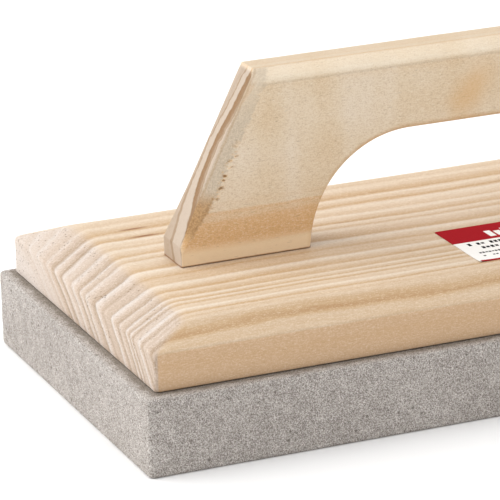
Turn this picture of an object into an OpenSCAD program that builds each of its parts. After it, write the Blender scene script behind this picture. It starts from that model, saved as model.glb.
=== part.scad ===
// Wooden sponge float: a bevelled backing board with a plank bow handle on top
// and a foam working pad glued underneath.
// Millimetres. +X runs along the float, +Z is up, and the origin is the centre
// of the pad's working face, which is the flat face that the float rests on.

/* [Backing board] */
// Length of the board
board_len = 300; // [260:1:400]
// Width of the board
board_wid = 140; // [100:1:180]
// Height of the board's upright edge, below the bevels
edge_h = 13.4; // [10:0.1:18]
// Height that the bevels rise above the upright edge
crown_h = 6; // [2:0.1:10]
// Width of the bevel at each end
end_bevel = 17; // [8:0.5:25]
// Width of the bevel along each side
side_bevel = 14; // [8:0.5:25]

/* [Handle] */
// Thickness of the plank that the handle is sawn from
plank_t = 17; // [14:0.5:24]
// Length of the handle along its base
handle_len = 231; // [220:1:240]
// Length of the handle along its top
grip_len = 170; // [150:1:190]
// Height of the handle above the board
handle_h = 66.5; // [60:0.5:80]
// Height of the upright foot below each slanted end
foot_h = 7; // [3:0.5:12]
// Width of the finger opening where it meets the board
arch_w = 133; // [120:1:140]
// Clear height of the finger opening
arch_h = 38.5; // [34:0.5:42]
// Radius of the opening's two upper corners
arch_r = 39; // [30:0.5:42]
// Width of the flats planed along the top edges
top_flat = 4; // [3.8:0.2:5]
// Width of the flats planed along the slanted edges, a little less than the top ones
end_flat = 3.4; // [2:0.2:3.4]

/* [Foam pad] */
// Thickness of the foam
foam_t = 28; // [15:1:40]
// Distance that the foam stands out past the board all round
foam_lip = 5; // [0:0.5:10]
// Thickness of the adhesive film between the foam and the board
film_t = 0.3; // [0.2:0.1:0.6]

/* [Fixings] */
// Outer diameter of the wood screws
screw_d = 3.5; // [3:0.5:4.5]
// Length of the wood screws, head included
screw_len = 40; // [30:1:45]
// Diameter of the countersunk heads
head_d = 7; // [6:0.5:9]
// Distance between the two screws in one leg
screw_gap = 18; // [12:1:24]
// Distance from the finger opening to the nearer screw
screw_inset = 12; // [8:1:16]
// Thickness of the wood glue under each leg
glue_t = 0.2; // [0.1:0.1:0.4]

/* [Label] */
// Length of the paper label, along the board
label_len = 42; // [20:1:80]
// Width of the paper label
label_wid = 37; // [15:1:40]
// Distance from the board's centre line to the label's middle
label_offset = 31.5; // [30:0.5:36]
// Thickness of the paper
label_t = 0.2; // [0.1:0.1:0.3]

/* [Hidden] */

board_t = edge_h + crown_h;
board_z = foam_t + film_t;
top_z = board_z + board_t;
handle_z = top_z + glue_t;

// The slanted ends of the handle
slant_run = (handle_len - grip_len) / 2;
slant_rise = handle_h - foot_h;
slant_len = norm([slant_run, slant_rise]);
slant_angle = atan2(slant_rise, slant_run);

// Screws: thread core, ridge spacing, and where the smooth shank ends
core_d = screw_d * 0.68;
pitch = 1.6;
point_len = 4;
shank_len = board_t - 3;
head_rim = 0.4;
head_h = head_rim + (head_d - screw_d) / 2;
ridges = floor((screw_len - shank_len - point_len) / pitch);
thread_end = shank_len + ridges * pitch;
recess_w = 0.8;
recess_depth = 1.4;
hole_play = 0.15;
screw_x = [arch_w / 2 + screw_inset, arch_w / 2 + screw_inset + screw_gap];

// Overshoot of every cutting shape, and the facets of a full circle
over = 1;
$fn = 96;

wood_light = "#e8cfa8";
wood_pale = "#e2cda9";
foam_grey = "#b3aea8";
glue_amber = "#b8904f";
film_cream = "#a79d84";
zinc = "#c9c9cc";
label_red = "#a8242c";

// Prism along Y whose section, in X and Z, has a bevel at both upper corners
module bevelled_prism(section_len, bevel, depth) {
    rotate([90, 0, 0])
        linear_extrude(height = depth, center = true)
            polygon([
                [-section_len / 2, 0],
                [section_len / 2, 0],
                [section_len / 2, edge_h],
                [section_len / 2 - bevel, board_t],
                [-section_len / 2 + bevel, board_t],
                [-section_len / 2, edge_h],
            ]);
}

// Its children at each of the four screws, from the board's underside upwards
module at_screws() {
    for (side = [-1, 1])
        for (x = screw_x)
            translate([side * x, 0, board_z])
                children();
}

// One countersunk wood screw, head down, with the thread as a row of ridges
module wood_screw() {
    flank = [
        for (i = [0:ridges - 1])
            each [
                [core_d / 2, shank_len + i * pitch],
                [screw_d / 2, shank_len + (i + 0.5) * pitch],
            ]
    ];
    difference() {
        rotate_extrude()
            polygon(concat(
                [[0, 0], [head_d / 2, 0], [head_d / 2, head_rim], [screw_d / 2, head_h]],
                [[screw_d / 2, shank_len - pitch / 2]],
                flank,
                [[core_d / 2, thread_end], [0, screw_len]]
            ));
        for (turn = [0, 90])
            rotate([0, 0, turn])
                cube([head_d * 0.6, recess_w, recess_depth * 2], center = true);
    }
}

// Clearance hole with a countersink that opens at the board's underside
module screw_hole() {
    hole_r = screw_d / 2 + hole_play;
    sink_r = head_d / 2 + hole_play;
    translate([0, 0, -over])
        cylinder(r = hole_r, h = board_t + 2 * over);
    translate([0, 0, -over])
        cylinder(r = sink_r, h = over + head_rim);
    translate([0, 0, head_rim])
        cylinder(r1 = sink_r, r2 = hole_r, h = head_h - head_rim);
}

// Block that planes a flat of this width on an edge along X: the edge passes through
// the origin, and face is the side of the plank, -1 or 1, that the flat meets
module planing_block(length, flat, face) {
    side = 4 * flat;
    rotate([-face * 45, 0, 0])
        translate([0, 0, side / 2 - flat / sqrt(2)])
            cube([length, side, side], center = true);
}

// The finger opening: a flat crown between two round corners, open at the base
module finger_arch() {
    corner_x = arch_w / 2 - arch_r;
    depth = plank_t + 2 * over;
    for (side = [-1, 1])
        translate([side * corner_x, 0, arch_h - arch_r])
            rotate([90, 0, 0])
                cylinder(r = arch_r, h = depth, center = true, $fn = 180);
    translate([0, 0, arch_h / 2 - over])
        cube([2 * corner_x, depth, arch_h + 2 * over], center = true);
}

module foam_pad() {
    color(foam_grey)
        translate([-board_len / 2 - foam_lip, -board_wid / 2 - foam_lip, 0])
            cube([board_len + 2 * foam_lip, board_wid + 2 * foam_lip, foam_t]);
}

module foam_adhesive() {
    color(film_cream)
        translate([-board_len / 2, -board_wid / 2, foam_t])
            cube([board_len, board_wid, film_t]);
}

module backing_board() {
    color(wood_light)
        difference() {
            translate([0, 0, board_z])
                intersection() {
                    bevelled_prism(board_len, end_bevel, board_wid);
                    rotate([0, 0, 90])
                        bevelled_prism(board_wid, side_bevel, board_len);
                }
            at_screws()
                screw_hole();
        }
}

module handle_glue() {
    leg_len = (handle_len - arch_w) / 2;
    color(glue_amber)
        difference() {
            for (side = [-1, 1])
                translate([side * (handle_len - leg_len) / 2, 0, top_z + glue_t / 2])
                    cube([leg_len - 1, plank_t - 1, glue_t], center = true);
            at_screws()
                cylinder(r = screw_d / 2 + hole_play, h = screw_len);
        }
}

module handle() {
    color(wood_pale)
        difference() {
            translate([0, 0, handle_z])
                difference() {
                    rotate([90, 0, 0])
                        linear_extrude(height = plank_t, center = true)
                            polygon([
                                [-handle_len / 2, 0],
                                [handle_len / 2, 0],
                                [handle_len / 2, foot_h],
                                [grip_len / 2, handle_h],
                                [-grip_len / 2, handle_h],
                                [-handle_len / 2, foot_h],
                            ]);
                    finger_arch();
                    for (face = [-1, 1])
                        translate([0, face * plank_t / 2, 0])
                            handle_edge_flats(face);
                }
            at_screws()
                cylinder(d = core_d, h = screw_len + over);
        }
}

// The flats along the top edge and both slanted edges of one face of the handle
module handle_edge_flats(face) {
    translate([0, 0, handle_h])
        planing_block(handle_len, top_flat, face);
    for (side = [-1, 1])
        translate([side * (grip_len + slant_run) / 2, 0, (handle_h + foot_h) / 2])
            rotate([0, side * slant_angle, 0])
                planing_block(slant_len + 6 * end_flat, end_flat, face);
}

module handle_screws() {
    color(zinc)
        at_screws()
            wood_screw();
}

module label() {
    color(label_red)
        translate([-label_len / 2, -label_offset - label_wid / 2, top_z])
            cube([label_len, label_wid, label_t]);
}

foam_pad();
foam_adhesive();
backing_board();
handle_glue();
handle();
handle_screws();
label();
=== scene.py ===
"""Looks of a wooden sponge float: pine board, plank handle and grey foam pad, on a white studio floor."""

import math
from functools import partialmethod
from types import SimpleNamespace

import bmesh
import bpy
import numpy as np
from mathutils import Matrix, Vector, noise


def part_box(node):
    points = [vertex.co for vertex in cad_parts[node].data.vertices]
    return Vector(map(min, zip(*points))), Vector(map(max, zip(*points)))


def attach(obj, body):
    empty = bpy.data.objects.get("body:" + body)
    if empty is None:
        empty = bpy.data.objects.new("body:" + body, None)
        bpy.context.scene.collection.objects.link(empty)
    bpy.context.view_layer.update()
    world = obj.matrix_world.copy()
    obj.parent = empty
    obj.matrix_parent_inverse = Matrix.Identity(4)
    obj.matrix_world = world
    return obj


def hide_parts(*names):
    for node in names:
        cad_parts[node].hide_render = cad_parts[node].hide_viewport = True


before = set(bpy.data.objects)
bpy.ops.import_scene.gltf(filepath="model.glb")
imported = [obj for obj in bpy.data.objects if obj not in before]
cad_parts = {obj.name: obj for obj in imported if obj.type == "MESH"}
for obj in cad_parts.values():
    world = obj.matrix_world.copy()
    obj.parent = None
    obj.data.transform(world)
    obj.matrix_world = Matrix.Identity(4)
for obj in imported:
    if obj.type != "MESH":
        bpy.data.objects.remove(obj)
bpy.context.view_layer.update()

MM = 0.001

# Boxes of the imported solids, in metres
FOAM_LOW, FOAM_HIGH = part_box("foam_pad")
FILM_LOW, FILM_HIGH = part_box("foam_adhesive")
BOARD_LOW, BOARD_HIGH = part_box("backing_board")
HANDLE_LOW, HANDLE_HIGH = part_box("handle")
GLUE_LOW, GLUE_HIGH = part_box("handle_glue")
SCREWS_LOW, SCREWS_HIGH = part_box("handle_screws")
LABEL_LOW, LABEL_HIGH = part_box("label")

# Board: height of the bevels, and their widths at the ends and along the sides
CROWN = 6 * MM
END_BEVEL = 17 * MM
SIDE_BEVEL = 14 * MM

# Handle: where the slanted ends start and stop, and the finger opening
GRIP_HALF = 85 * MM
FOOT_HEIGHT = 7 * MM
ARCH_HALF = 66.5 * MM
ARCH_HEIGHT = 38.5 * MM
ARCH_RADIUS = 39 * MM
ARCH_CORNER_X = ARCH_HALF - ARCH_RADIUS
ARCH_CORNER_Z = HANDLE_LOW.z + ARCH_HEIGHT - ARCH_RADIUS
ARCH_END = ARCH_CORNER_X + math.sqrt(ARCH_RADIUS ** 2 - (HANDLE_LOW.z - ARCH_CORNER_Z) ** 2)
# A slanted end's run, rise and length, and the handle's height in millimetres
SLANT_RUN = HANDLE_HIGH.x - GRIP_HALF
SLANT_RISE = HANDLE_HIGH.z - HANDLE_LOW.z - FOOT_HEIGHT
SLANT = math.hypot(SLANT_RUN, SLANT_RISE)
HANDLE_TALL = (HANDLE_HIGH.z - HANDLE_LOW.z) / MM
# The planed flat on the near top edge
TOP_FLAT = 4 * MM
# Flats on the slanted edges of the near and the far face: width on the face, and depth on the end
NEAR_FLAT = (4.5 * MM, 3.1 * MM)
FAR_FLAT = (2.3 * MM, 2.3 * MM)
# How softly the flats meet the faces, and the radii of the handle's edges and of its lowest arris
FLAT_EASE = 1.12
HANDLE_EASE = 0.8 * MM
FOOT_ARRIS = 0.45 * MM

# Screws
SCREW_RADIUS = 1.75 * MM
SCREW_CORE = 1.19 * MM
SCREW_HEAD = 3.5 * MM
SCREW_PITCH = 1.6 * MM
SCREW_INSET = 12 * MM
SCREW_GAP = 18 * MM
THREAD_FROM = 16 * MM
SCREW_POINT = 4 * MM
HOLE_PLAY = 0.15 * MM
HEAD_RIM = 0.4 * MM


# ---- camera, light and floor

VIEW_AZIMUTH = math.radians(22.2215)
VIEW_ELEVATION = math.radians(18.508)
VIEW_ROLL = math.radians(1.616)
CAMERA_AT = Vector((-0.54823, -1.13066, 0.45629))
CAMERA_LENS = 264.1


def add_object(name, data):
    """A new object in the scene."""
    thing = bpy.data.objects.new(name, data)
    bpy.context.scene.collection.objects.link(thing)
    return thing


def make_camera():
    """The camera stands off the left end, turned towards the right, and looks down on the float."""
    forward = Vector((
        math.sin(VIEW_AZIMUTH) * math.cos(VIEW_ELEVATION),
        math.cos(VIEW_AZIMUTH) * math.cos(VIEW_ELEVATION),
        -math.sin(VIEW_ELEVATION),
    ))
    right = forward.cross(Vector((0, 0, 1))).normalized()
    up = right.cross(forward)
    tilted_right = right * math.cos(VIEW_ROLL) - up * math.sin(VIEW_ROLL)
    tilted_up = right * math.sin(VIEW_ROLL) + up * math.cos(VIEW_ROLL)
    data = bpy.data.cameras.new("camera")
    data.lens = CAMERA_LENS
    data.sensor_width = 36
    data.clip_start = 0.05
    data.clip_end = 50
    camera = add_object("camera", data)
    turn = Matrix((tilted_right, tilted_up, -forward)).transposed()
    camera.matrix_world = Matrix.Translation(CAMERA_AT) @ turn.to_4x4()
    bpy.context.scene.camera = camera


def area_light(name, at, towards, size, energy, colour):
    """A square soft box at one point, facing another."""
    data = bpy.data.lights.new(name, "AREA")
    data.size = size
    data.energy = energy
    data.color = colour
    lamp = add_object(name, data)
    lamp.location = at
    lamp.rotation_euler = (Vector(towards) - Vector(at)).to_track_quat("-Z", "Y").to_euler()


def make_lights():
    """White surroundings and an overhead glow, a large soft box from the left and two weaker ones."""
    world = bpy.data.worlds.new("studio")
    world.use_nodes = True
    background = world.node_tree.nodes["Background"]
    background.inputs["Color"].default_value = (1.0, 1.0, 1.0, 1)
    background.inputs["Strength"].default_value = 0.38
    bpy.context.scene.world = world
    area_light("key", (-1.35, 0.5, 1.0), (-0.05, 0, 0.05), 1.8, 24, (1.0, 0.99, 0.98))
    area_light("front", (1.5, -1.1, 0.8), (0, 0, 0.05), 1.2, 7.1, (1.0, 0.99, 0.98))
    area_light("back", (0.7, 1.6, 1.2), (0, 0, 0.05), 1.4, 7, (1.0, 1.0, 1.0))
    overhead = bpy.data.lights.new("overhead", "SUN")
    overhead.energy = 1.4
    overhead.angle = math.radians(100)
    add_object("overhead", overhead).location = (0, 0, 2)
    view = bpy.context.scene.view_settings
    view.view_transform = "Standard"
    view.look = "None"


# ---- node materials

class Graph:
    """A node material: each call adds one node and returns its output."""

    def __init__(self, name):
        self.material = bpy.data.materials.new(name)
        self.material.use_nodes = True
        self.tree = self.material.node_tree
        self.tree.nodes.clear()
        self.output = self.node("OutputMaterial")
        self.place()

    def feed(self, socket, value):
        """Links an output to a socket, or sets the socket's own value."""
        if isinstance(value, bpy.types.NodeSocket):
            self.tree.links.new(value, socket)
        else:
            socket.default_value = (*value, 1) if socket.type == "RGBA" else value

    def node(self, kind, **inputs):
        """A new node and its named inputs, with an underscore for each space in a name."""
        node = self.tree.nodes.new("ShaderNode" + kind)
        for name, value in inputs.items():
            self.feed(node.inputs[name.replace("_", " ")], value)
        return node

    def math(self, operation, a, b=0.0):
        node = self.node("Math")
        node.operation = operation
        for socket, value in zip(node.inputs, (a, b)):
            self.feed(socket, value)
        return node.outputs[0]

    add = partialmethod(math, "ADD")
    sub = partialmethod(math, "SUBTRACT")
    mul = partialmethod(math, "MULTIPLY")
    div = partialmethod(math, "DIVIDE")
    abs = partialmethod(math, "ABSOLUTE")
    max = partialmethod(math, "MAXIMUM")
    min = partialmethod(math, "MINIMUM")
    over = partialmethod(math, "GREATER_THAN")
    under = partialmethod(math, "LESS_THAN")

    def length(self, a, b):
        """Length of the vector (a, b)."""
        return self.math("SQRT", self.add(self.mul(a, a), self.mul(b, b)))

    def swing(self, noise, size):
        """Noise of 0 to 1 as a swing of this size about 0."""
        return self.mul(self.sub(noise, 0.5), size)

    def inside(self, value, low, high):
        """1 where the value is between low and high, and 0 elsewhere."""
        return self.mul(self.over(value, low), self.under(value, high))

    def ease(self, value, low, high, to_low=0.0, to_high=1.0):
        """A smooth step from to_low at low to to_high at high."""
        node = self.node("MapRange", From_Min=low, From_Max=high, To_Min=to_low, To_Max=to_high)
        node.interpolation_type = "SMOOTHSTEP"
        self.feed(node.inputs["Value"], value)
        return node.outputs["Result"]

    def fall(self, value, low, high):
        """A smooth step from 1 at low to 0 at high."""
        return self.ease(value, low, high, 1.0, 0.0)

    def hump(self, value, centre, half_width):
        """1 at the centre, falling smoothly to 0 half_width away on both sides."""
        return self.fall(self.abs(self.sub(value, centre)), 0.0, half_width)

    def vector(self, x, y, z):
        return self.node("CombineXYZ", X=x, Y=y, Z=z).outputs[0]

    def split(self, vector):
        return tuple(self.node("SeparateXYZ", Vector=vector).outputs)

    def place(self):
        """Sets the point in the float's own frame, in millimetres: as one vector, and as x, y and z."""
        scale = self.node("VectorMath")
        scale.operation = "SCALE"
        self.feed(scale.inputs[0], self.node("TexCoord").outputs["Object"])
        scale.inputs["Scale"].default_value = 1 / MM
        self.at = scale.outputs[0]
        self.xyz = self.split(self.at)

    def normal(self):
        """The surface normal's x, y and z."""
        return self.split(self.node("NewGeometry").outputs["Normal"])

    def stretched(self, *scales):
        """The point's place with x, y and z scaled."""
        return self.vector(*(self.mul(place, scale) for place, scale in zip(self.xyz, scales)))

    def noise(self, vector, scale=1.0, detail=2.0, roughness=0.5):
        """Smooth noise from 0 to 1."""
        node = self.node("TexNoise", Vector=vector, Scale=scale, Detail=detail, Roughness=roughness)
        return node.outputs["Fac"]

    def grain(self, scales, detail=2.0, roughness=0.5):
        """Noise over the stretched place, drawn out along the axis with the smallest scale."""
        return self.noise(self.stretched(*scales), 1.0, detail, roughness)

    def cells(self, vector, scale=1.0):
        """Distance to the nearest of scattered points."""
        return self.node("TexVoronoi", Vector=vector, Scale=scale).outputs["Distance"]

    def cell_random(self, vector, scale=1.0):
        """One random number for each cell."""
        colour = self.node("TexVoronoi", Vector=vector, Scale=scale).outputs["Color"]
        return self.node("SeparateColor", Color=colour).outputs[0]

    def random(self, number):
        """A random number from 0 to 1 that depends only on this number."""
        node = self.node("TexWhiteNoise")
        node.noise_dimensions = "1D"
        self.feed(node.inputs["W"], number)
        return node.outputs["Value"]

    def ramp(self, value, stops, interpolation="LINEAR"):
        """A colour ramp through (place, colour) stops."""
        node = self.node("ValToRGB", Fac=value)
        band = node.color_ramp
        band.interpolation = interpolation
        band.elements.remove(band.elements[1])
        band.elements[0].position = 0.0
        for place, colour in stops:
            band.elements.new(place).color = (*colour, 1)
        band.elements.remove(band.elements[0])
        return node.outputs["Color"]

    def mix(self, share, a, b):
        """Two colours mixed by a share from 0 to 1."""
        node = self.node("Mix")
        node.data_type = "RGBA"
        sockets = {socket.identifier: socket for socket in node.inputs}
        for name, value in (("Factor_Float", share), ("A_Color", a), ("B_Color", b)):
            self.feed(sockets[name], value)
        return next(s for s in node.outputs if s.identifier == "Result_Color")

    def bump(self, height, distance, strength=1.0, under=None):
        """A normal from a height of 0 to 1 that stands for this distance in metres."""
        node = self.node("Bump", Strength=strength, Distance=distance, Height=height)
        if under is not None:
            self.feed(node.inputs["Normal"], under)
        return node.outputs["Normal"]

    def finish(self, colour, roughness, normal=None, specular=0.25, metallic=0.0):
        """Ends the graph in a Principled shader. Constants go straight onto its sockets."""
        shader = self.node("BsdfPrincipled", Base_Color=colour, Roughness=roughness)
        shader.inputs["Specular IOR Level"].default_value = specular
        shader.inputs["Metallic"].default_value = metallic
        if normal is not None:
            self.feed(shader.inputs["Normal"], normal)
        self.tree.links.new(shader.outputs[0], self.output.inputs["Surface"])
        return self.material


def linear(screen):
    """A screen value of 0 to 255 as the linear one that shaders take."""
    c = screen / 255
    return c / 12.92 if c <= 0.04045 else ((c + 0.055) / 1.055) ** 2.4


def palette(**colours):
    """Named screen colours as linear ones."""
    return SimpleNamespace(**{name: tuple(map(linear, colour)) for name, colour in colours.items()})


# The board, from the palest spring wood to the darkest summer wood, and its sawn ends
PINE = palette(
    pale=(223, 210, 193), early=(214, 194, 170), late=(195, 164, 127), deep=(178, 141, 100),
    resin=(132, 82, 42), side=(212, 172, 131), pale_fibre=(240, 224, 202), pore=(118, 88, 62),
    end_pale=(222, 212, 205), end_middle=(206, 187, 171), end_late=(160, 136, 112),
    end_fibre=(240, 230, 222),
)

# Dark resin threads near the far left corner: where each starts and ends along the board, and across it
RESIN_STREAKS = [(-120, -108, 31.0), (-120, -110, 40.6), (-142, -137, 30.4), (-151, -148, 33.0)]

# The board's growth rings are cylinders along X about the heart of the tree, far below its back edge
HEART_Y = 140.0
HEART_Z = -140.0
# Growth rings on the board's top face, from back to front: where each one ends in millimetres across the
# board, how dark it is there, and how dark the next one starts
RINGS = [
    (73, 0.3, 0.15), (61, 0.3, 0.15), (48.8, 0.5, 0.2), (38.4, 0.85, 0.12), (30.2, 0.85, 0.1),
    (21.2, 0.55, 0.05), (12.4, 0.8, 0.1), (6.8, 0.7, 0.15), (-4.2, 0.8, 0.0), (-13.1, 0.75, 0.45),
    (-20.0, 0.6, 0.0), (-27.9, 0.85, 0.25), (-34.4, 0.75, 0.05), (-38.8, 0.8, 0.05), (-42.4, 0.8, 0.3),
    (-46.4, 0.45, 0.0), (-51.8, 0.8, 0.3), (-54.9, 0.55, 0.35), (-60.5, 0.95, 0.5), (-67.0, 0.6, 0.5),
]


def ring_radius(y, z):
    """Distance of a point of the board from the heart of the tree, in millimetres."""
    return math.hypot(y - HEART_Y, z - HEART_Z)


def ring_ramp(g, radius, rings, top):
    """Darkness of some of the board's rings, as a ramp over the distance from the heart."""
    inner = ring_radius(rings[0][0], top) - 8
    outer = ring_radius(rings[-1][0], top) + 8
    stops = [(0.0, (0.1,) * 3)]
    for edge, dark, fresh in rings:
        end = ring_radius(edge, top)
        stops.append(((end - 0.45 - inner) / (outer - inner), (dark,) * 3))
        stops.append(((end + 0.45 - inner) / (outer - inner), (fresh,) * 3))
    return g.ramp(g.div(g.sub(radius, inner), outer - inner), stops)


def fibres(g, coarse, fine, sizes):
    """Swing about 0 of the fibres along the grain, coarse ones and a fuzz of torn ones."""
    return g.add(g.swing(g.grain(coarse, 3.0, 0.65), sizes[0]), g.swing(g.grain(fine, 2.0, 0.7), sizes[1]))


def fibre_colour(g, colour, grain, dark, pale, paleness):
    """Darkens the colour where the fibres swing up, and pales it where they swing down."""
    colour = g.mix(g.max(grain, 0.0), colour, dark)
    return g.mix(g.max(g.mul(grain, -paleness), 0.0), colour, pale)


def board_rings(g, end, torn, quick):
    """How dark the board's rings are. Each is pale where it starts and darkens to its end."""
    x, y, z = g.xyz
    top = BOARD_HIGH.z / MM
    slow = g.grain((0.012, 0.03, 0.03), 0.0)
    across = g.sub(y, HEART_Y)
    radius = g.length(across, g.sub(z, HEART_Z))
    radius = g.add(g.add(radius, g.swing(slow, 3.0)), g.swing(quick, 1.1))
    radius = g.add(radius, g.mul(g.swing(torn, 1.5), end))
    veer = g.mul(g.fall(x, -140.0, -85.0), g.ease(y, -20.0, 15.0, 1.0, 0.2))
    radius = g.sub(radius, g.mul(veer, 1.6))
    half = len(RINGS) // 2
    split = ring_radius(RINGS[half - 1][0], top) + 0.5
    first = ring_ramp(g, radius, RINGS[:half], top)
    second = ring_ramp(g, radius, RINGS[half - 1:], top)
    late = g.mix(g.over(radius, split), first, second)
    along = g.vector(g.mul(x, 0.02), g.mul(radius, 1.3), g.mul(across, 0.05))
    return g.add(late, g.swing(g.noise(along, detail=3.0, roughness=0.6), 0.45))


def board_resin(g, colour, late, quick, nz):
    """Short resin streaks on the darkest rings, and the threads near the far left corner."""
    x, y = g.xyz[:2]
    spot = g.grain((0.035, 0.45, 0.3), 3.0, 0.7)
    resin = g.mul(g.ease(spot, 0.66, 0.74), g.ease(late, 0.45, 0.85))
    colour = g.mix(g.mul(resin, 0.75), colour, PINE.resin)
    for from_x, to_x, streak_y in RESIN_STREAKS:
        off_line = g.add(g.sub(y, streak_y), g.swing(quick, 1.6))
        along = g.hump(x, (from_x + to_x) / 2, 0.8 * (to_x - from_x))
        thread = g.mul(g.mul(g.hump(off_line, 0.0, 1.5), along), g.ease(nz, 0.5, 0.8))
        colour = g.mix(g.mul(thread, 0.9), colour, PINE.resin)
    return colour


def board_end_grain(g, colour, late, end, torn):
    """Sawn ends, paler and rougher, with dark pores that gather in places. Returns the pores as well."""
    tone = g.add(g.mul(late, 0.9), g.swing(torn, 0.9))
    sawn = g.ramp(tone, [(0.05, PINE.end_pale), (0.4, PINE.end_middle), (1.0, PINE.end_late)])
    colour = g.mix(g.mul(end, 0.85), colour, sawn)
    speck = g.grain((1.7, 1.9, 1.9), 2.0, 0.8)
    colour = g.mix(g.mul(g.ease(speck, 0.52, 0.72, 0.0, 0.5), end), colour, PINE.end_late)
    colour = g.mix(g.mul(g.ease(speck, 0.48, 0.28, 0.0, 0.5), end), colour, PINE.end_fibre)
    where = g.grain((0.07, 0.05, 0.07), 1.0)
    gather = g.add(g.ease(where, 0.45, 0.6), g.ease(g.xyz[1], 20.0, 60.0))
    pore = g.fall(g.cells(g.stretched(0.5, 0.6, 0.6)), 0.1, 0.24)
    pit = g.mul(g.mul(pore, end), g.min(gather, 1.0))
    return g.mix(g.mul(pit, 0.7), colour, PINE.pore), pit


def pine_board():
    """Flat-sawn pine: rings that run the length of the board and turn down over its bevels and ends."""
    g = Graph("pine_board")
    nx, ny, nz = g.normal()
    end = g.ease(g.abs(nx), 0.05, 0.36)
    side = g.ease(g.abs(ny), 0.75, 0.95)
    quick = g.grain((0.06, 0.2, 0.2), 2.0)
    torn = g.grain((0.9, 1.5, 1.5), 5.0, 0.75)
    late = board_rings(g, end, torn, quick)
    late = g.add(g.mul(late, g.ease(side, 0.0, 1.0, 1.0, 0.25)), g.mul(side, 0.4))
    colour = g.ramp(late, [(0.0, PINE.pale), (0.3, PINE.early), (0.75, PINE.late), (1.0, PINE.deep)])
    colour = g.mix(g.mul(side, 0.6), colour, PINE.side)
    grain = fibres(g, (0.5, 2.2, 2.2), (1.6, 2.0, 2.0), (1.0, 1.15))
    colour = fibre_colour(g, colour, grain, PINE.deep, PINE.pale_fibre, 1.2)
    colour = board_resin(g, colour, late, quick, nz)
    colour, pit = board_end_grain(g, colour, late, end, torn)
    normal = g.bump(g.add(g.mul(late, 0.7), g.mul(grain, 0.5)), -0.16 * MM, 0.6)
    tear = g.sub(g.sub(torn, pit), g.mul(late, 0.9))
    normal = g.bump(g.mul(tear, g.add(g.mul(end, 0.95), 0.05)), 0.7 * MM, 0.6, normal)
    return g.finish(colour, g.add(0.62, g.mul(end, 0.2)), normal)


# The handle's rings lie almost along its faces. One of them comes out low on the front face: this is its
# depth behind that face, in millimetres, at some heights above the board
RING_DEPTH = [
    (0.0, -1.6), (5.0, 0.0), (10.5, 1.3), (14.0, 2.6), (17.7, 4.2), (21.9, 6.3), (27.3, 8.2), (32.8, 9.3),
    (41.0, 9.8), (52.6, 7.5), (63.5, 5.8), (66.5, 5.4),
]
# Darkness of the wood on both sides of that ring's end, by distance behind it
HANDLE_RINGS = [
    (-12.0, 0.25), (-11.6, 0.0), (-6.4, 0.04), (-6.1, 0.12), (-5.4, 0.12), (-5.2, 0.05), (-4.7, 0.05),
    (-4.4, 0.62), (-4.0, 0.6), (-3.75, 0.46), (-3.4, 0.54), (-3.0, 0.84), (-2.0, 0.92), (-0.3, 1.0),
    (0.25, 0.1), (0.8, 0.0), (4.6, 0.05), (5.1, 0.6), (5.8, 0.6), (6.3, 0.25), (9.0, 0.3), (12.0, 0.15),
]
# A ramp holds 0 to 1: what these depths are counted from and spread over, and where the rings end
RING_FROM, RING_SPAN, RING_LIMIT = -4.0, 16.0, 18.0
GRIP = palette(
    pale=(238, 225, 207), wood=(230, 211, 183), tan=(220, 192, 153), ochre=(222, 175, 118),
    dark_fibre=(176, 144, 108), pale_fibre=(246, 236, 222), knot=(220, 174, 112), foot=(248, 222, 186),
    top=(192, 172, 146), flat=(250, 236, 214), flat_line=(178, 160, 138), opening=(196, 146, 80),
    pore=(140, 108, 74), end_pale=(198, 182, 166), end_middle=(170, 148, 126), end_late=(144, 112, 80),
    grey_pale=(212, 197, 176), grey_dark=(182, 165, 143), brown_pale=(200, 162, 116),
    brown_dark=(158, 120, 78), arris=(176, 142, 106), fleck=(238, 190, 122), chip=(140, 100, 62),
    soil=(150, 96, 50),
)
KNOT_X, KNOT_Z = -3.0, 96.0
KNOT_LENGTH, KNOT_WIDTH = 17.0, 9.5
# The knot's stain leans: cosine and sine of its slope
KNOT_LEAN = (0.65, 0.76)


def slant_inset(g, x, height):
    """Distance of a point of the handle's face from its nearer slanted edge, in millimetres."""
    inset = g.mul(g.sub(HANDLE_HIGH.x / MM, g.abs(x)), SLANT_RISE / SLANT)
    return g.add(inset, g.mul(g.sub(FOOT_HEIGHT / MM, height), SLANT_RUN / SLANT))


def arch_distance(g, x, z):
    """Distance of a point of the handle's face from the edge of the finger opening, in millimetres."""
    sideways = g.max(g.sub(g.abs(x), ARCH_CORNER_X / MM), 0.0)
    upward = g.sub(z, ARCH_CORNER_Z / MM)
    return g.sub(g.length(sideways, upward), ARCH_RADIUS / MM)


def handle_rings(g, height, depth, end, quick):
    """How dark the handle's rings are, by distance behind the one that comes out low on the front."""
    slow = g.grain((0.012, 0.03, 0.035), 1.0)
    curve = [(at / HANDLE_TALL, ((deep - RING_FROM) / RING_SPAN,) * 3) for at, deep in RING_DEPTH]
    surface = g.add(g.mul(g.ramp(g.div(height, HANDLE_TALL), curve, "CARDINAL"), RING_SPAN), RING_FROM)
    ring = g.add(g.sub(depth, surface), g.add(g.swing(slow, 1.2), g.swing(quick, 0.9)))
    ripple = g.grain((0.2, 0.3, 0.25), 3.0, 0.6)
    ring = g.add(ring, g.mul(g.swing(ripple, 2.4), end))
    beyond = g.div(5.0, g.ease(height, 14.0, 34.0, 8.0, 3.3))
    ring = g.add(g.min(ring, 0.0), g.mul(g.max(ring, 0.0), beyond))
    first = HANDLE_RINGS[0][0]
    stops = [((place - first) / (RING_LIMIT - first), (dark,) * 3) for place, dark in HANDLE_RINGS]
    return g.ramp(g.div(g.sub(ring, first), RING_LIMIT - first), stops)


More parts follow.
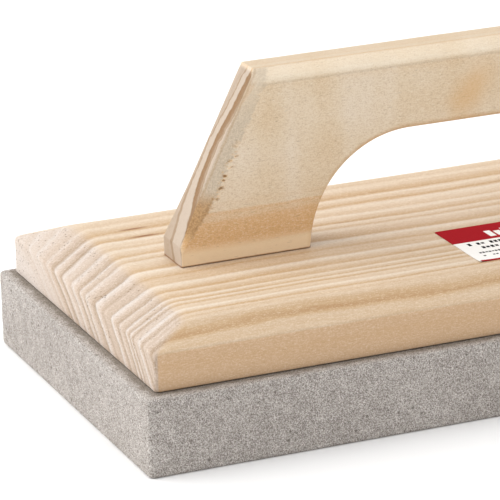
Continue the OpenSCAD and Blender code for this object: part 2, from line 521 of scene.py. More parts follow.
def handle_face(g, late, cloud):
    """The planed face: slow clouds, a little warmer towards the middle, and the ochre of the ring."""
    mill = g.grain((0.09, 0.02, 0.012), 1.0)
    middle = g.ease(g.abs(g.xyz[0]), 20.0, 90.0, 0.12, 0.0)
    tone = g.add(g.add(g.swing(cloud, 0.9), g.swing(mill, 0.8)), g.add(middle, 0.35))
    colour = g.ramp(tone, [(0.0, GRIP.pale), (0.5, GRIP.wood), (1.0, GRIP.tan)])
    return g.mix(g.mul(late, 0.9), colour, GRIP.ochre)


def knot_stain(g, depth, cloud):
    """The leaning stain of a knot that lies just under the front of the grip."""
    right, up = g.sub(g.xyz[0], KNOT_X), g.sub(g.xyz[2], KNOT_Z)
    along = g.add(g.mul(right, KNOT_LEAN[0]), g.mul(up, KNOT_LEAN[1]))
    aside = g.sub(g.mul(right, KNOT_LEAN[1]), g.mul(up, KNOT_LEAN[0]))
    aside = g.add(aside, g.swing(cloud, 12.0))
    away = g.length(g.div(along, KNOT_LENGTH), g.div(aside, KNOT_WIDTH))
    return g.mul(g.fall(away, 0.1, 1.0), g.fall(depth, 0.0, 9.0))


def slanted_edge(g, colour, height, depth, nx, ragged):
    """Slanted edges that the planer tore: grey high up, brown below, with chips along the inner rim.

    Returns the colour, the torn strip and the chips.
    """
    inset = slant_inset(g, g.xyz[0], height)
    edge = g.add(inset, g.swing(ragged, 5.0))
    front = g.fall(depth, 3.0, 6.0)
    face = g.mul(front, g.fall(g.abs(nx), 0.7, 0.86))
    reach = g.ease(height, 8.0, 24.0, 2.4, 4.2)
    strip = g.fall(edge, g.sub(reach, 0.6), g.add(reach, 0.9))
    strip = g.mul(strip, g.mul(face, g.ease(height, 8.0, 13.0)))
    speck = g.grain((1.6, 1.6, 1.6), 3.0, 0.75)
    light = g.ease(speck, 0.3, 0.7)
    grey = g.mix(light, GRIP.grey_dark, GRIP.grey_pale)
    brown = g.mix(light, GRIP.brown_dark, GRIP.brown_pale)
    torn_wood = g.mix(g.ease(height, 20.0, 27.0), brown, grey)
    colour = g.mix(g.mul(strip, g.ease(height, 44.0, 62.0, 0.9, 0.5)), colour, torn_wood)
    # A painted shade line along the outer arris of the torn flat
    arris = g.hump(g.add(inset, g.swing(ragged, 1.2)), 0.5, 0.6)
    arris = g.mul(arris, g.mul(front, g.ease(height, 14.0, 28.0)))
    colour = g.mix(g.mul(arris, 0.4), colour, GRIP.arris)

    # Chips, dark beside orange, and mostly on the lower half
    spots = g.add(g.cells(g.stretched(0.36, 0.3, 0.8)), g.swing(speck, 0.5))
    rim = g.mul(g.hump(edge, 4.6, 1.9), g.mul(face, g.hump(height, 30.0, 17.0)))
    chip = g.mul(g.fall(spots, 0.24, 0.4), rim)
    fleck = g.mul(g.fall(spots, 0.38, 0.6), rim)
    colour = g.mix(g.mul(fleck, 0.6), colour, GRIP.fleck)
    return g.mix(g.mul(chip, 0.85), colour, GRIP.chip), strip, chip


def pine_handle():
    """A plank whose rings lie almost along its faces, so that one comes out low on the front face."""
    g = Graph("pine_handle")
    x, y, z = g.xyz
    nx, _, nz = g.normal()
    height = g.sub(z, HANDLE_LOW.z / MM)
    depth = g.sub(y, HANDLE_LOW.y / MM)
    end = g.ease(g.abs(nx), 0.55, 0.8)
    quick = g.grain((0.05, 0.3, 0.25), 2.0)
    cloud = g.grain((0.025, 0.05, 0.05), 3.0)
    torn = g.grain((0.5, 1.7, 0.9), 5.0, 0.7)
    ragged = g.grain((0.22, 0.1, 0.4), 5.0, 0.75)
    top_flat = g.mul(g.ease(height, HANDLE_TALL - 5.5, HANDLE_TALL - 3.5), g.fall(depth, 3.5, 5.0))
    late = handle_rings(g, height, depth, end, quick)
    late = g.mul(late, g.sub(1.0, g.mul(g.mul(top_flat, g.sub(1.0, end)), 0.8)))
    grain = fibres(g, (0.5, 2.6, 2.6), (1.8, 2.2, 2.2), (1.1, 1.5))
    colour = handle_face(g, late, cloud)
    colour = fibre_colour(g, colour, grain, GRIP.dark_fibre, GRIP.pale_fibre, 1.1)
    colour = g.mix(g.mul(knot_stain(g, depth, cloud), 0.55), colour, GRIP.knot)

    # The foot is painted paler as a glow of light, the top face painted darker as shade, the planed flat
    # painted paler as light above a faint painted shade line, and the opening's rim painted darker as shade
    colour = g.mix(g.ease(height, 3.5, 8.5, 0.9, 0.0), colour, GRIP.foot)
    colour = g.mix(g.ease(nz, 0.75, 0.95, 0.0, 0.6), colour, GRIP.top)
    colour = g.mix(g.mul(top_flat, 0.4), colour, GRIP.flat)
    colour = g.mix(g.mul(g.hump(height, HANDLE_TALL - 5.0, 0.8), 0.22), colour, GRIP.flat_line)
    # Painted shade along the opening's rim, where its rounded edge faces down
    rim = g.fall(g.add(arch_distance(g, x, z), g.swing(quick, 2.0)), 0.4, 2.2)
    rim = g.mul(rim, g.ease(g.abs(x), 45.0, 66.0, 1.0, 0.35))
    colour = g.mix(g.mul(rim, 0.55), colour, GRIP.opening)
    pore = g.grain((0.3, 3.2, 3.2), 1.0)
    colour = g.mix(g.ease(pore, 0.69, 0.78, 0.0, 0.45), colour, GRIP.pore)

    # Sawn ends show the rings as broad strips, and glue colour with painted contact shade darkens the
    # lowest edge
    end_tone = g.add(late, g.swing(torn, 0.55))
    sawn = g.ramp(end_tone, [(0.0, GRIP.end_pale), (0.5, GRIP.end_middle), (1.0, GRIP.end_late)])
    colour = g.mix(g.mul(end, 0.95), colour, sawn)
    colour, strip, chip = slanted_edge(g, colour, height, depth, nx, ragged)
    glue_shade_band = g.ease(g.add(height, g.swing(ragged, 0.6)), 0.2, 0.6, 0.7, 0.0)
    colour = g.mix(glue_shade_band, colour, GRIP.soil)

    normal = g.bump(g.add(grain, g.mul(late, 0.2)), 0.14 * MM, 0.5)
    rough_strip = g.max(g.mul(strip, 0.7), end)
    normal = g.bump(g.mul(g.sub(torn, g.mul(late, 0.3)), rough_strip), 0.6 * MM, 0.55, normal)
    normal = g.bump(chip, -0.5 * MM, 0.8, normal)
    return g.finish(colour, g.add(0.6, g.mul(end, 0.2)), normal)


FOAM = palette(
    dark=(131, 123, 117), middle=(180, 173, 167), pale=(224, 219, 214), hole=(102, 95, 86),
    small_hole=(108, 100, 90), smear=(112, 98, 80),
)


def grey_foam():
    """Fine open-cell foam, cut with a wire: even small cells and a few larger, darker ones."""
    g = Graph("grey_foam")
    x, y, z = g.xyz
    fine = g.cells(g.at, 2.4)
    finer = g.noise(g.at, 2.2, detail=1.5, roughness=0.8)
    cloud = g.noise(g.at, 0.04, detail=3.0)
    patch = g.noise(g.at, 0.3, detail=2.0)
    grain = g.add(g.mul(g.sub(fine, 0.45), -1.0), g.swing(finer, 1.9))
    tone = g.add(0.5, g.add(grain, g.add(g.swing(cloud, 0.25), g.swing(patch, 0.4))))
    colour = g.ramp(tone, [(0.0, FOAM.dark), (0.5, FOAM.middle), (1.0, FOAM.pale)])
    size = g.cell_random(g.at, 0.24)
    distance = g.cells(g.at, 0.24)
    hole = g.fall(distance, g.mul(size, 0.07), g.add(g.mul(size, 0.13), 0.07))
    small_hole = g.fall(g.cells(g.at, 0.6), 0.08, 0.26)
    colour = g.mix(g.mul(hole, 0.75), colour, FOAM.hole)
    colour = g.mix(g.mul(small_hole, 0.55), colour, FOAM.small_hole)

    # Painted shade darkens the ledge close beside the board, where the board's wall shades it
    past_end = g.sub(g.abs(x), BOARD_HIGH.x / MM)
    past_side = g.sub(g.abs(y), BOARD_HIGH.y / MM)
    beside = g.max(past_end, past_side)
    smear = g.fall(g.add(beside, g.swing(patch, 2.5)), 0.6, 3.2)
    smear = g.mul(smear, g.over(z, FOAM_HIGH.z / MM - 0.8))
    colour = g.mix(g.mul(smear, 0.55), colour, FOAM.smear)
    holes = g.add(g.mul(hole, 0.9), g.mul(small_hole, 0.4))
    height = g.sub(g.add(g.mul(fine, -0.5), g.mul(finer, 0.8)), holes)
    return g.finish(colour, 0.95, g.bump(height, 0.5 * MM, 0.5), specular=0.1)


FILM = palette(dark=(96, 84, 62), pale=(150, 136, 108))
GLUE = palette(dark=(146, 98, 50), pale=(184, 134, 76), bubble=(176, 140, 92))
ZINC = palette(dull=(176, 178, 184), bright=(222, 222, 218))
LABEL = palette(red=(165, 37, 44), white=(244, 243, 240), ink=(38, 36, 38))
FLOOR_DULL = (0.95, 0.95, 0.95)
FLOOR_BRIGHT = (0.97, 0.97, 0.97)


def contact_adhesive():
    """A dull film of dried contact adhesive, in brush strokes."""
    g = Graph("contact_adhesive")
    stroke = g.grain((0.05, 0.6, 1.0), 3.0)
    blot = g.noise(g.at, 0.15, detail=2.0)
    colour = g.mix(g.add(g.mul(stroke, 0.6), g.mul(blot, 0.4)), FILM.dark, FILM.pale)
    return g.finish(colour, 0.5, g.bump(stroke, 0.2 * MM, 0.5), specular=0.4)


def wood_glue():
    """Dried wood glue, darkened as painted shade of the joint line, with small bubbles."""
    g = Graph("wood_glue")
    cloud = g.noise(g.at, 0.4, detail=3.0)
    bubble = g.fall(g.cells(g.at, 1.2), 0.1, 0.25)
    colour = g.mix(cloud, GLUE.dark, GLUE.pale)
    colour = g.mix(g.mul(bubble, 0.5), colour, GLUE.bubble)
    return g.finish(colour, 0.42, g.bump(g.add(cloud, bubble), 0.15 * MM, 0.5), specular=0.5)


def zinc_plate():
    """Bright zinc over steel: cool, faintly mottled and turned."""
    g = Graph("zinc_plate")
    mottle = g.noise(g.at, 1.1, detail=4.0, roughness=0.65)
    turning = g.grain((0.2, 0.2, 5.0), 2.0)
    colour = g.mix(mottle, ZINC.dull, ZINC.bright)
    rough = g.add(0.24, g.mul(mottle, 0.2))
    normal = g.bump(g.add(mottle, turning), 0.03 * MM, 0.4)
    return g.finish(colour, rough, normal, specular=0.5, metallic=1.0)


# Rows of print on the white field, in millimetres: place below the upper edge, height, width of a mark
PRINT_ROWS = [(18.6, 2.6, 1.7), (23.0, 2.6, 1.7), (28.0, 1.6, 1.2), (31.4, 1.6, 1.2)]
LABEL_HEADER = 15.6
LABEL_STRIPE = 1.3
LABEL_MARGIN = 4.0
# Blocks in the header: where they start, and their pitch and lowest line
LOGO_START, LOGO_PITCH, LOGO_FOOT = 15.5, 3.3, 13.2


def printed_label():
    """Coated paper with a red header, a red foot line, and plain blocks in place of any wording."""
    g = Graph("printed_label")
    right = g.sub(g.xyz[0], LABEL_LOW.x / MM)
    down = g.sub(LABEL_HIGH.y / MM, g.xyz[1])
    width = (LABEL_HIGH.x - LABEL_LOW.x) / MM
    height = (LABEL_HIGH.y - LABEL_LOW.y) / MM
    colour = g.mix(g.under(down, LABEL_HEADER), LABEL.white, LABEL.red)
    foot = g.mul(g.over(down, height - LABEL_STRIPE), g.over(right, 0.6))
    colour = g.mix(foot, colour, LABEL.red)

    # Header: a row of plain white blocks
    cell = g.div(g.sub(right, LOGO_START), LOGO_PITCH)
    block = g.inside(g.math("FRACT", cell), 0.1, 0.84)
    tall = g.add(7.0, g.mul(g.random(g.math("FLOOR", cell)), 2.6))
    field = g.mul(g.inside(right, LOGO_START, width - 6.6), g.inside(down, g.sub(15.4, tall), LOGO_FOOT))
    block = g.mul(block, field)
    colour = g.mix(block, colour, LABEL.white)

    # White field: rows of small dark blocks, grouped as words are
    ink = None
    for row, (centre, tall, wide) in enumerate(PRINT_ROWS):
        cell = g.div(g.sub(right, LABEL_MARGIN), wide)
        number = g.add(g.math("FLOOR", cell), 40.0 * row)
        there = g.over(g.random(number), 0.2)
        shape = g.inside(g.math("FRACT", cell), 0.14, 0.86)
        tallness = g.add(0.28 * tall, g.mul(g.random(g.add(number, 0.5)), 0.22 * tall))
        line = g.under(g.abs(g.sub(down, centre)), tallness)
        mark = g.mul(g.mul(there, shape), g.mul(line, g.inside(right, LABEL_MARGIN, width - LABEL_MARGIN)))
        ink = mark if ink is None else g.max(ink, mark)
    colour = g.mix(ink, colour, LABEL.ink)
    fleck = g.noise(g.at, 3.0, detail=2.0)
    colour = g.mix(g.ease(fleck, 0.6, 0.9, 0.0, 0.02), colour, LABEL.white)
    sag = g.grain((0.12, 0.4, 1.0))
    normal = g.bump(g.add(g.mul(sag, 0.9), g.mul(fleck, 0.05)), 0.2 * MM, 0.35)
    return g.finish(colour, 0.6, normal, specular=0.0)


def studio_floor():
    """Plain white, very slightly uneven paper."""
    g = Graph("studio_floor")
    cloud = g.noise(g.at, 0.004, detail=1.0)
    colour = g.mix(cloud, FLOOR_DULL, FLOOR_BRIGHT)
    return g.finish(colour, 0.9, None, specular=0.0)


# ---- mesh building

def mesh_piece(name, points, faces, material):
    """A smooth-shaded mesh object from points in metres and faces as index lists."""
    mesh = bpy.data.meshes.new(name)
    mesh.from_pydata([tuple(p) for p in points], [], [tuple(f) for f in faces])
    mesh.validate()
    mesh.materials.append(material)
    piece = add_object(name, mesh)
    tidy = bmesh.new()
    tidy.from_mesh(mesh)
    bmesh.ops.remove_doubles(tidy, verts=tidy.verts, dist=1e-7)
    bmesh.ops.recalc_face_normals(tidy, faces=tidy.faces)
    tidy.to_mesh(mesh)
    tidy.free()
    mesh.shade_smooth()
    return piece


def spread(count, power=1.0):
    """Places from -1 to 1, closer together near both ends when power is over 1."""
    t = np.linspace(-1, 1, count + 1)
    return np.sign(t) * (1 - (1 - np.abs(t)) ** power)


def rounded(x, y, half_x, half_y, radius):
    """Moves a point of a rectangle so that the corners become round, the inner points with them."""
    inset = min(half_x - abs(x), half_y - abs(y))
    hx, hy, r = half_x - inset, half_y - inset, radius - inset
    if r <= 0:
        return x, y
    beyond_x, beyond_y = abs(x) - (hx - r), abs(y) - (hy - r)
    if beyond_x <= 0 or beyond_y <= 0:
        return x, y
    if beyond_x >= beyond_y:
        angle = math.radians(45) * beyond_y / r
    else:
        angle = math.radians(90) - math.radians(45) * beyond_x / r
    return (
        math.copysign(hx - r + r * math.cos(angle), x),
        math.copysign(hy - r + r * math.sin(angle), y),
    )


def grid_rim(nx, ny):
    """The places (i, j) round the rim of a grid, in order."""
    rim = [(i, 0) for i in range(nx)] + [(nx - 1, j) for j in range(1, ny)]
    return rim + [(i, ny - 1) for i in range(nx - 2, -1, -1)] + [(0, j) for j in range(ny - 2, 0, -1)]


def bridge(rings):
    """Faces between each ring of points and the next."""
    faces = []
    for low, high in zip(rings, rings[1:]):
        for k in range(len(low)):
            after = (k + 1) % len(low)
            faces.append((low[k], low[after], high[after], high[k]))
    return faces


def block(levels, across_x, across_y, solid_caps=(True, True)):
    """Points and faces of a closed block of rings. Levels are (half_x, half_y, corner, z), bottom first.

    across_x and across_y are the grid's places from -1 to 1. A cap is a grid of quads, or one flat face.
    """
    nx, ny = len(across_x), len(across_y)
    rim = grid_rim(nx, ny)
    points, rings = [], []

    def add_point(i, j, level):
        half_x, half_y, corner, z = level
        px, py = rounded(across_x[i] * half_x, across_y[j] * half_y, half_x, half_y, corner)
        points.append((px, py, z))
        return len(points) - 1

    for level in levels:
        rings.append([add_point(i, j, level) for i, j in rim])
    faces = bridge(rings)
    for cap, as_grid in zip((0, -1), solid_caps):
        turn = reversed if cap == 0 else iter
        if not as_grid:
            faces.append(tuple(turn(rings[cap])))
            continue
        index = dict(zip(rim, rings[cap]))
        for i in range(1, nx - 1):
            for j in range(1, ny - 1):
                index[i, j] = add_point(i, j, levels[cap])
        for i in range(nx - 1):
            for j in range(ny - 1):
                quad = (index[i, j], index[i + 1, j], index[i + 1, j + 1], index[i, j + 1])
                faces.append(tuple(turn(quad)))
    return np.array(points), faces


def arc_levels(start, corner, end, steps):
    """Points of a smooth bend from start to end that turns at corner; each is a tuple of numbers."""
    bend = []
    for t in np.linspace(0, 1, steps + 1):
        bend.append(tuple(
            (1 - t) ** 2 * a + 2 * t * (1 - t) * b + t * t * c for a, b, c in zip(start, corner, end)
        ))
    return bend


def wander(point, size, seed):
    """Smooth noise from -1 to 1 that changes over about this length in metres."""
    return noise.noise(Vector(point) / size + Vector((seed, seed * 1.7, seed * 2.3)))


def cut_holes(piece, cutter):
    """Cuts the cutter's shape out of the piece, and removes the cutter."""
    modifier = piece.modifiers.new("holes", "BOOLEAN")
    modifier.operation = "DIFFERENCE"
    modifier.solver = "EXACT"
    modifier.object = cutter
    depsgraph = bpy.context.evaluated_depsgraph_get()
    cut = bpy.data.meshes.new_from_object(piece.evaluated_get(depsgraph), depsgraph=depsgraph)
    piece.modifiers.clear()
    piece.data = cut
    bpy.data.objects.remove(cutter)
    return piece


def lathe_faces(rings, sides):
    """Faces of a closed solid whose points are a tip, this many rings, and another tip."""
    faces = []
    tip = 1 + rings * sides
    for k in range(sides):
        after = (k + 1) % sides
        faces.append((0, 1 + after, 1 + k))
        for a in range(1, tip - sides, sides):
            faces.append((a + k, a + after, a + sides + after, a + sides + k))
        faces.append((tip - sides + k, tip - sides + after, tip))
    return faces


def circle(sides):
    """Cosines and sines of evenly spaced angles."""
    angles = [2 * math.pi * k / sides for k in range(sides)]
    return [(math.cos(t), math.sin(t)) for t in angles]


def turned(profile, sides):
    """A solid of revolution about Z, from (radius, z) pairs whose ends lie on the axis."""
    points = [(0, 0, profile[0][1])]
    for radius, z in profile[1:-1]:
        points += [(radius * c, radius * s, z) for c, s in circle(sides)]
    points.append((0, 0, profile[-1][1]))
    return points, lathe_faces(len(profile) - 2, sides)


def at_screws(points, faces, base):
    """Four copies of a shape, two under each leg, with its z counted from base."""
    all_points, all_faces = [], []
    for side in (-1, 1):
        for along in (ARCH_HALF + SCREW_INSET, ARCH_HALF + SCREW_INSET + SCREW_GAP):
            first = len(all_points)
            all_points += [(x + side * along, y, z + base) for x, y, z in points]
            all_faces += [tuple(first + k for k in face) for face in faces]
    return all_points, all_faces


# ---- the pieces

def make_board(material):
    """The backing board: upright edges, bevels that wander a little, softened arrises and a flat top."""
    half_x, half_y = BOARD_HIGH.x, BOARD_HIGH.y
    bottom, top = BOARD_LOW.z, BOARD_HIGH.z
    shoulder = top - CROWN
    corner = 1.3 * MM

    # (share of the bevel's width moved in, extra inset, z), from the bottom edge up to the flat top
    path = arc_levels((0, 0.5 * MM, bottom), (0, 0, bottom), (0, 0, bottom + 0.5 * MM), 3)
    path += [(0, 0, z) for z in np.linspace(bottom + 1.5 * MM, shoulder - 1.8 * MM, 9)]
    low, high = 1.1 * MM, 0.55 * MM
    path += arc_levels((0, 0, shoulder - low), (0, 0, shoulder), (high / CROWN, 0, shoulder + high), 6)
    path += [(t, 0, shoulder + CROWN * t) for t in np.linspace(0.16, 0.74, 9)]
    path += arc_levels((0.8, 0, shoulder + 0.8 * CROWN), (1, 0, top), (1, 4 * MM, top), 7)
    levels = [
        (half_x - END_BEVEL * t - extra, half_y - SIDE_BEVEL * t - extra, corner + 2.5 * MM * t, z)
        for t, extra, z in path
    ]
    points, faces = block(levels, spread(110, 1.6), spread(150, 1.25), (False, True))

    for p in points:
        share = min(max((top - p[2]) / CROWN, 0), 1)
        if share <= 0 or p[2] < bottom + 1 * MM:
            continue
        fade = min(share * 3, 1) * min((p[2] - bottom) / (5 * MM), 1)
        if p[2] > shoulder - 2 * MM:
            wave = wander(p, 45 * MM, 3) + 0.5 * wander(p, 12 * MM, 5)
            p[2] += fade * (0.28 * MM * wave - 0.15 * MM)
        rough = 0.16 if abs(p[0]) > half_x - END_BEVEL else 0.05
        p[0] -= math.copysign(fade * rough * MM * (0.5 + wander(p, 2.5 * MM, 9)), p[0])
        p[1] -= math.copysign(fade * 0.1 * MM * (0.5 + 0.5 * wander(p, 30 * MM, 11)), p[1])
    board = mesh_piece("board", points, faces, material)

    hole, sink = SCREW_RADIUS + HOLE_PLAY, SCREW_HEAD + HOLE_PLAY
    over = 2 * MM
    profile = [
        (0, -over), (sink, -over), (sink, HEAD_RIM), (hole, HEAD_RIM + sink - hole),
        (hole, top - bottom + over), (0, top - bottom + over),
    ]
    cutter = mesh_piece("board_cutter", *at_screws(*turned(profile, 40), bottom), material)
    return cut_holes(board, cutter)


def soft_flat(distance, width, depth):
    """How far a planed flat drops below the face at this distance from the edge, with eased ends."""
    if distance >= width:
        return 0.0
    share = 1 - max(distance, 0) / width
    return depth * (1 - (1 - share ** FLAT_EASE) ** (1 / FLAT_EASE))


def rounded_drop(distance, radius):
    """How far a rounded edge drops below the face at this distance from the edge."""
    if distance >= radius:
        return 0.0
    return radius - math.sqrt(max(radius ** 2 - (radius - max(distance, 0)) ** 2, 0))


def handle_columns():
    """Places along X of the handle's columns, closer round the finger opening and at the slanted ends."""
    start = math.asin((HANDLE_LOW.z - ARCH_CORNER_Z) / ARCH_RADIUS)
    half = list(np.linspace(0, ARCH_CORNER_X, 22))[:-1]
    half += [ARCH_CORNER_X + ARCH_RADIUS * math.cos(a) for a in np.linspace(math.pi / 2, start, 40)]
    half += list(np.linspace(ARCH_END, GRIP_HALF, 18))[1:]
    half += [GRIP_HALF + SLANT_RUN * (1 - (1 - t) ** 1.5) for t in np.linspace(0, 1, 34)[1:]]
    return [-x for x in reversed(half[1:])] + half


def handle_reach(x):
    """Lowest and highest z of the handle at x."""
    low = HANDLE_LOW.z
    if abs(x) < ARCH_END - 1e-9:
        sideways = max(abs(x) - ARCH_CORNER_X, 0)
        low = ARCH_CORNER_Z + math.sqrt(ARCH_RADIUS ** 2 - sideways ** 2)
    return low, HANDLE_HIGH.z - max(abs(x) - GRIP_HALF, 0) * SLANT_RISE / SLANT_RUN


def handle_drop(x, z, side):
    """How far the near (-1) or far (1) face lies inside the plank: flats, rounded edges and torn wood."""
    base, end = HANDLE_LOW.z, HANDLE_HIGH.x
    from_slant = ((end - abs(x)) * SLANT_RISE + (base + FOOT_HEIGHT - z) * SLANT_RUN) / SLANT
    wave = 1 + 0.10 * wander((x, side * 0.05, z), 14 * MM, 21)
    grown = 0.35 + 0.65 * min(max((z - base - 8 * MM) / (18 * MM), 0), 1)
    width, deep = (size * wave * grown for size in (NEAR_FLAT if side < 0 else FAR_FLAT))
    if from_slant < width and z < base + FOOT_HEIGHT:
        deep *= max((z - base) / FOOT_HEIGHT, 0)
    flat = TOP_FLAT * wave * (1 if side < 0 else 0.65)
    drop = max(soft_flat(HANDLE_HIGH.z - z, flat, flat), soft_flat(from_slant, width, deep))
    if abs(x) < ARCH_END + HANDLE_EASE:
        sideways = max(abs(x) - ARCH_CORNER_X, 0)
        from_arch = math.hypot(sideways, z - ARCH_CORNER_Z) - ARCH_RADIUS
        drop = max(drop, rounded_drop(from_arch, HANDLE_EASE))
    drop = max(drop, rounded_drop(z - base, FOOT_ARRIS), 0.7 * rounded_drop(end - abs(x), HANDLE_EASE))
    if from_slant < 5 * MM and z > base + 14 * MM:
        place = (x, side * 0.1, z)
        torn = wander(place, 2.2 * MM, 31) + 0.6 * wander(place, 1.1 * MM, 33)
        middle = 1 - abs(from_slant - 2.5 * MM) / (2.5 * MM)
        drop += 0.14 * MM * middle * (0.4 + max(torn, 0))
    return drop


def make_handle(material):
    """The plank handle: two faces built in columns over its outline, joined by its edges."""
    columns, rows, strips = handle_columns(), 44, 10
    shares = [(1 - math.cos(math.pi * k / rows)) / 2 for k in range(rows + 1)]
    points, faces, index = [], [], {}
    for side in (-1, 1):
        for i, x in enumerate(columns):
            low, high = handle_reach(x)
            for j, share in enumerate(shares):
                z = low + (high - low) * share
                index[side, i, j] = len(points)
                points.append((x, side * (HANDLE_HIGH.y - handle_drop(x, z, side)), z))
        for i in range(len(columns) - 1):
            for j in range(rows):
                quad = ((i, j), (i + 1, j), (i + 1, j + 1), (i, j + 1))
                faces.append([index[side, a, b] for a, b in quad])

    rim = grid_rim(len(columns), rows + 1)
    lanes = [[index[-1, i, j] for i, j in rim]]
    for k in range(1, strips):
        lanes.append(range(len(points), len(points) + len(rim)))
        for i, j in rim:
            near, far = np.array(points[index[-1, i, j]]), np.array(points[index[1, i, j]])
            points.append(tuple(near + (far - near) * k / strips))
    lanes.append([index[1, i, j] for i, j in rim])
    handle = mesh_piece("handle_wood", points, faces + bridge(lanes), material)

    below, depth = -1 * MM, SCREWS_HIGH.z - HANDLE_LOW.z + 1 * MM
    profile = [(0, below), (SCREW_CORE, below), (SCREW_CORE, depth), (0, depth + 0.6 * MM)]
    cutter = mesh_piece("handle_cutter", *at_screws(*turned(profile, 24), HANDLE_LOW.z), material)
    return cut_holes(handle, cutter)


def make_foam(material):
    """The foam pad: wire-cut faces that wander a little, with soft arrises."""
    half_x, half_y = FOAM_HIGH.x, FOAM_HIGH.y
    low, high = FOAM_LOW.z, FOAM_HIGH.z
    soft = 1.3 * MM
    inset = 0.25 * MM
    path = arc_levels((soft, low), (0, low), (0, low + soft), 4)
    path += [(0, z) for z in np.linspace(low + 2.2 * MM, high - 2.2 * MM, 22)]
    path += arc_levels((0, high - soft), (0, high), (soft, high), 4)
    levels = [(half_x - inset - d, half_y - inset - d, 1.8 * MM, z) for d, z in path]
    points, faces = block(levels, spread(236, 1.15), spread(116, 1.1))
    board_x, board_y = BOARD_HIGH.x, BOARD_HIGH.y
    for p in points:
        under_board = abs(p[0]) < board_x and abs(p[1]) < board_y
        if p[2] < low + 0.1 * MM or (under_board and p[2] > high - 0.1 * MM):
            continue
        lift = min((p[2] - low) / (3 * MM), 1)
        rough = wander(p, 30 * MM, 41) + 0.6 * wander(p, 6 * MM, 43) + 0.7 * wander(p, 2 * MM, 45)
        rough *= 0.13 * MM
        if abs(p[0]) > board_x:
            p[0] += math.copysign(lift * rough, p[0])
        if abs(p[1]) > board_y:
            p[1] += math.copysign(lift * rough, p[1])
        if p[2] > high - 1 * MM:
            p[2] -= 0.1 * MM + 0.12 * MM * (0.5 + 0.5 * wander(p, 7 * MM, 47))
    return mesh_piece("foam", points, faces, material)


def make_film(name, low, high, inset, corner, material, step):
    """A thin film whose outline wanders inside its box, with a rounded rim."""
    half_x, half_y = (high.x - low.x) / 2, (high.y - low.y) / 2
    thick = high.z - low.z
    path = [(0.3, 0), (0.1, 0.2), (0.0, 0.5), (0.1, 0.8), (0.3, 1)]
    levels = [
        (half_x - inset - d * thick, half_y - inset - d * thick, corner, low.z + t * thick) for d, t in path
    ]
    nx, ny = max(int(2 * half_x / step), 8), max(int(2 * half_y / step), 8)
    points, faces = block(levels, spread(nx), spread(ny))
    middle = (low + high) / 2
    for p in points:
        side_x, side_y = abs(p[0]) / half_x, abs(p[1]) / half_y
        shift = inset * 0.8 * wander((p[0] + middle.x, p[1], 0), 9 * MM, 51)
        p[0] += math.copysign(shift * max(side_x - 0.9, 0) * 10, p[0]) + middle.x
        p[1] += math.copysign(shift * max(side_y - 0.9, 0) * 10, p[1]) + middle.y
    return mesh_piece(name, points, faces, material)


def make_leg_glue(material):
    """The two films of wood glue under the handle's legs."""
    pieces = []
    for side, name in ((-1, "glue_left"), (1, "glue_right")):
        outer = side * GLUE_HIGH.x
        inner = side * (ARCH_HALF + 0.5 * MM)
        low = Vector((min(outer, inner), GLUE_LOW.y, GLUE_LOW.z))
        high = Vector((max(outer, inner), GLUE_HIGH.y, GLUE_HIGH.z))
        pieces.append(make_film(name, low, high, 0.2 * MM, 1.0 * MM, material, 1.2 * MM))
    return pieces


def cross_recess(x, y):
    """Depth of the cross recess at a point of the screw's head."""
    depth = 0.0
    for a, b in ((x, y), (y, x)):
        along = min(max((2.3 * MM - abs(a)) / (0.5 * MM), 0), 1)
        aside = min(max((0.65 * MM - abs(b)) / (0.3 * MM), 0), 1)
        depth = max(depth, 1.5 * MM * along * aside)
    return depth


def thread_radius(share, z, length):
    """Radius of the screw at this share of a turn: a helical ridge that starts above the smooth shank."""
    ridge = max(1 - abs((z / SCREW_PITCH - share) % 1 - 0.5) / 0.34, 0) ** 1.2
    grow = min(max((z - THREAD_FROM) / SCREW_PITCH, 0), 1)
    shank = SCREW_RADIUS * (1 - grow) + SCREW_CORE * grow
    radius = shank + (SCREW_RADIUS - SCREW_CORE) * ridge * grow
    return radius * min(max((length - z) / SCREW_POINT, 0), 1) ** 0.8


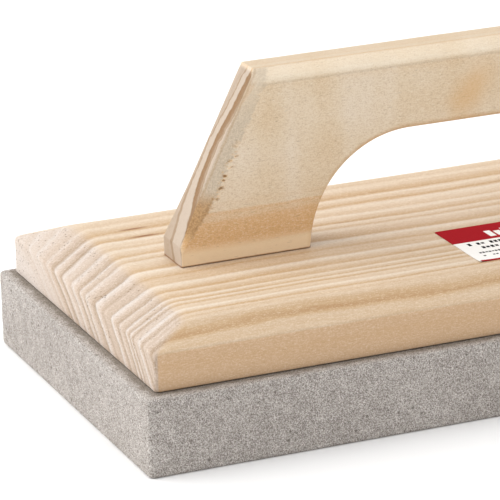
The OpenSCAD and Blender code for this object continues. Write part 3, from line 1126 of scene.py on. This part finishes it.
def make_screws(material):
    """Four countersunk wood screws with a helical thread and a cross recess."""
    length = SCREWS_HIGH.z - SCREWS_LOW.z
    sides = 48
    around = circle(sides)
    neck = HEAD_RIM + SCREW_HEAD - SCREW_RADIUS
    half_way = ((SCREW_HEAD + SCREW_RADIUS) / 2, (HEAD_RIM + neck) / 2)
    cone = [(SCREW_HEAD, HEAD_RIM), half_way, (SCREW_RADIUS, neck)]
    rings = []
    for r in np.linspace(0, SCREW_HEAD, 25)[1:]:
        rings.append([(r * c, r * s, cross_recess(r * c, r * s)) for c, s in around])
    for r, z in cone:
        rings.append([(r * c, r * s, z) for c, s in around])
    for z in np.arange(neck + 2 * MM, length - 0.05 * MM, SCREW_PITCH / 9):
        radii = [thread_radius(k / sides, z, length) for k in range(sides)]
        rings.append([(r * c, r * s, z) for r, (c, s) in zip(radii, around)])
    points = [(0, 0, cross_recess(0, 0))] + [point for ring in rings for point in ring] + [(0, 0, length)]
    return mesh_piece("screws", *at_screws(points, lathe_faces(len(rings), sides), SCREWS_LOW.z), material)


def make_label(material):
    """The paper label: faintly uneven, and one corner has let go."""
    low, high = LABEL_LOW, LABEL_HIGH
    half_x, half_y = (high.x - low.x) / 2, (high.y - low.y) / 2
    middle = (low + high) / 2
    levels = [(half_x, half_y, 0.6 * MM, low.z + 0.02 * MM), (half_x, half_y, 0.6 * MM, high.z - 0.03 * MM)]
    points, faces = block(levels, spread(84), spread(66))
    for p in points:
        corner = max(-p[0] / half_x - 0.7, 0) * max(-p[1] / half_y - 0.7, 0) / 0.09
        p[2] += 0.03 * MM * (0.5 + 0.5 * wander(p, 9 * MM, 61)) + 0.35 * MM * corner ** 1.5
        p[0] += middle.x
        p[1] += middle.y
    return mesh_piece("label_paper", points, faces, material)


def make_floor(material):
    """A wide white floor that the pad rests on."""
    size, z = 6.0, FOAM_LOW.z
    corners = [(-size, -size, z), (size, -size, z), (size, size, z), (-size, size, z)]
    return mesh_piece("floor", corners, [(0, 1, 2, 3)], material)


def show(piece, node):
    """Puts a piece on the float's one body, in place of its CAD node."""
    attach(piece, "root")
    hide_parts(node)
    return piece


make_camera()
make_lights()

show(make_board(pine_board()), "backing_board")
show(make_handle(pine_handle()), "handle")

foam = show(make_foam(grey_foam()), "foam_pad")

film = make_film("adhesive_film", FILM_LOW, FILM_HIGH, 1.2 * MM, 1.5 * MM, contact_adhesive(), 4 * MM)
show(film, "foam_adhesive")
for glue in make_leg_glue(wood_glue()):
    show(glue, "handle_glue")

show(make_screws(zinc_plate()), "handle_screws")
show(make_label(printed_label()), "label")

make_floor(studio_floor())
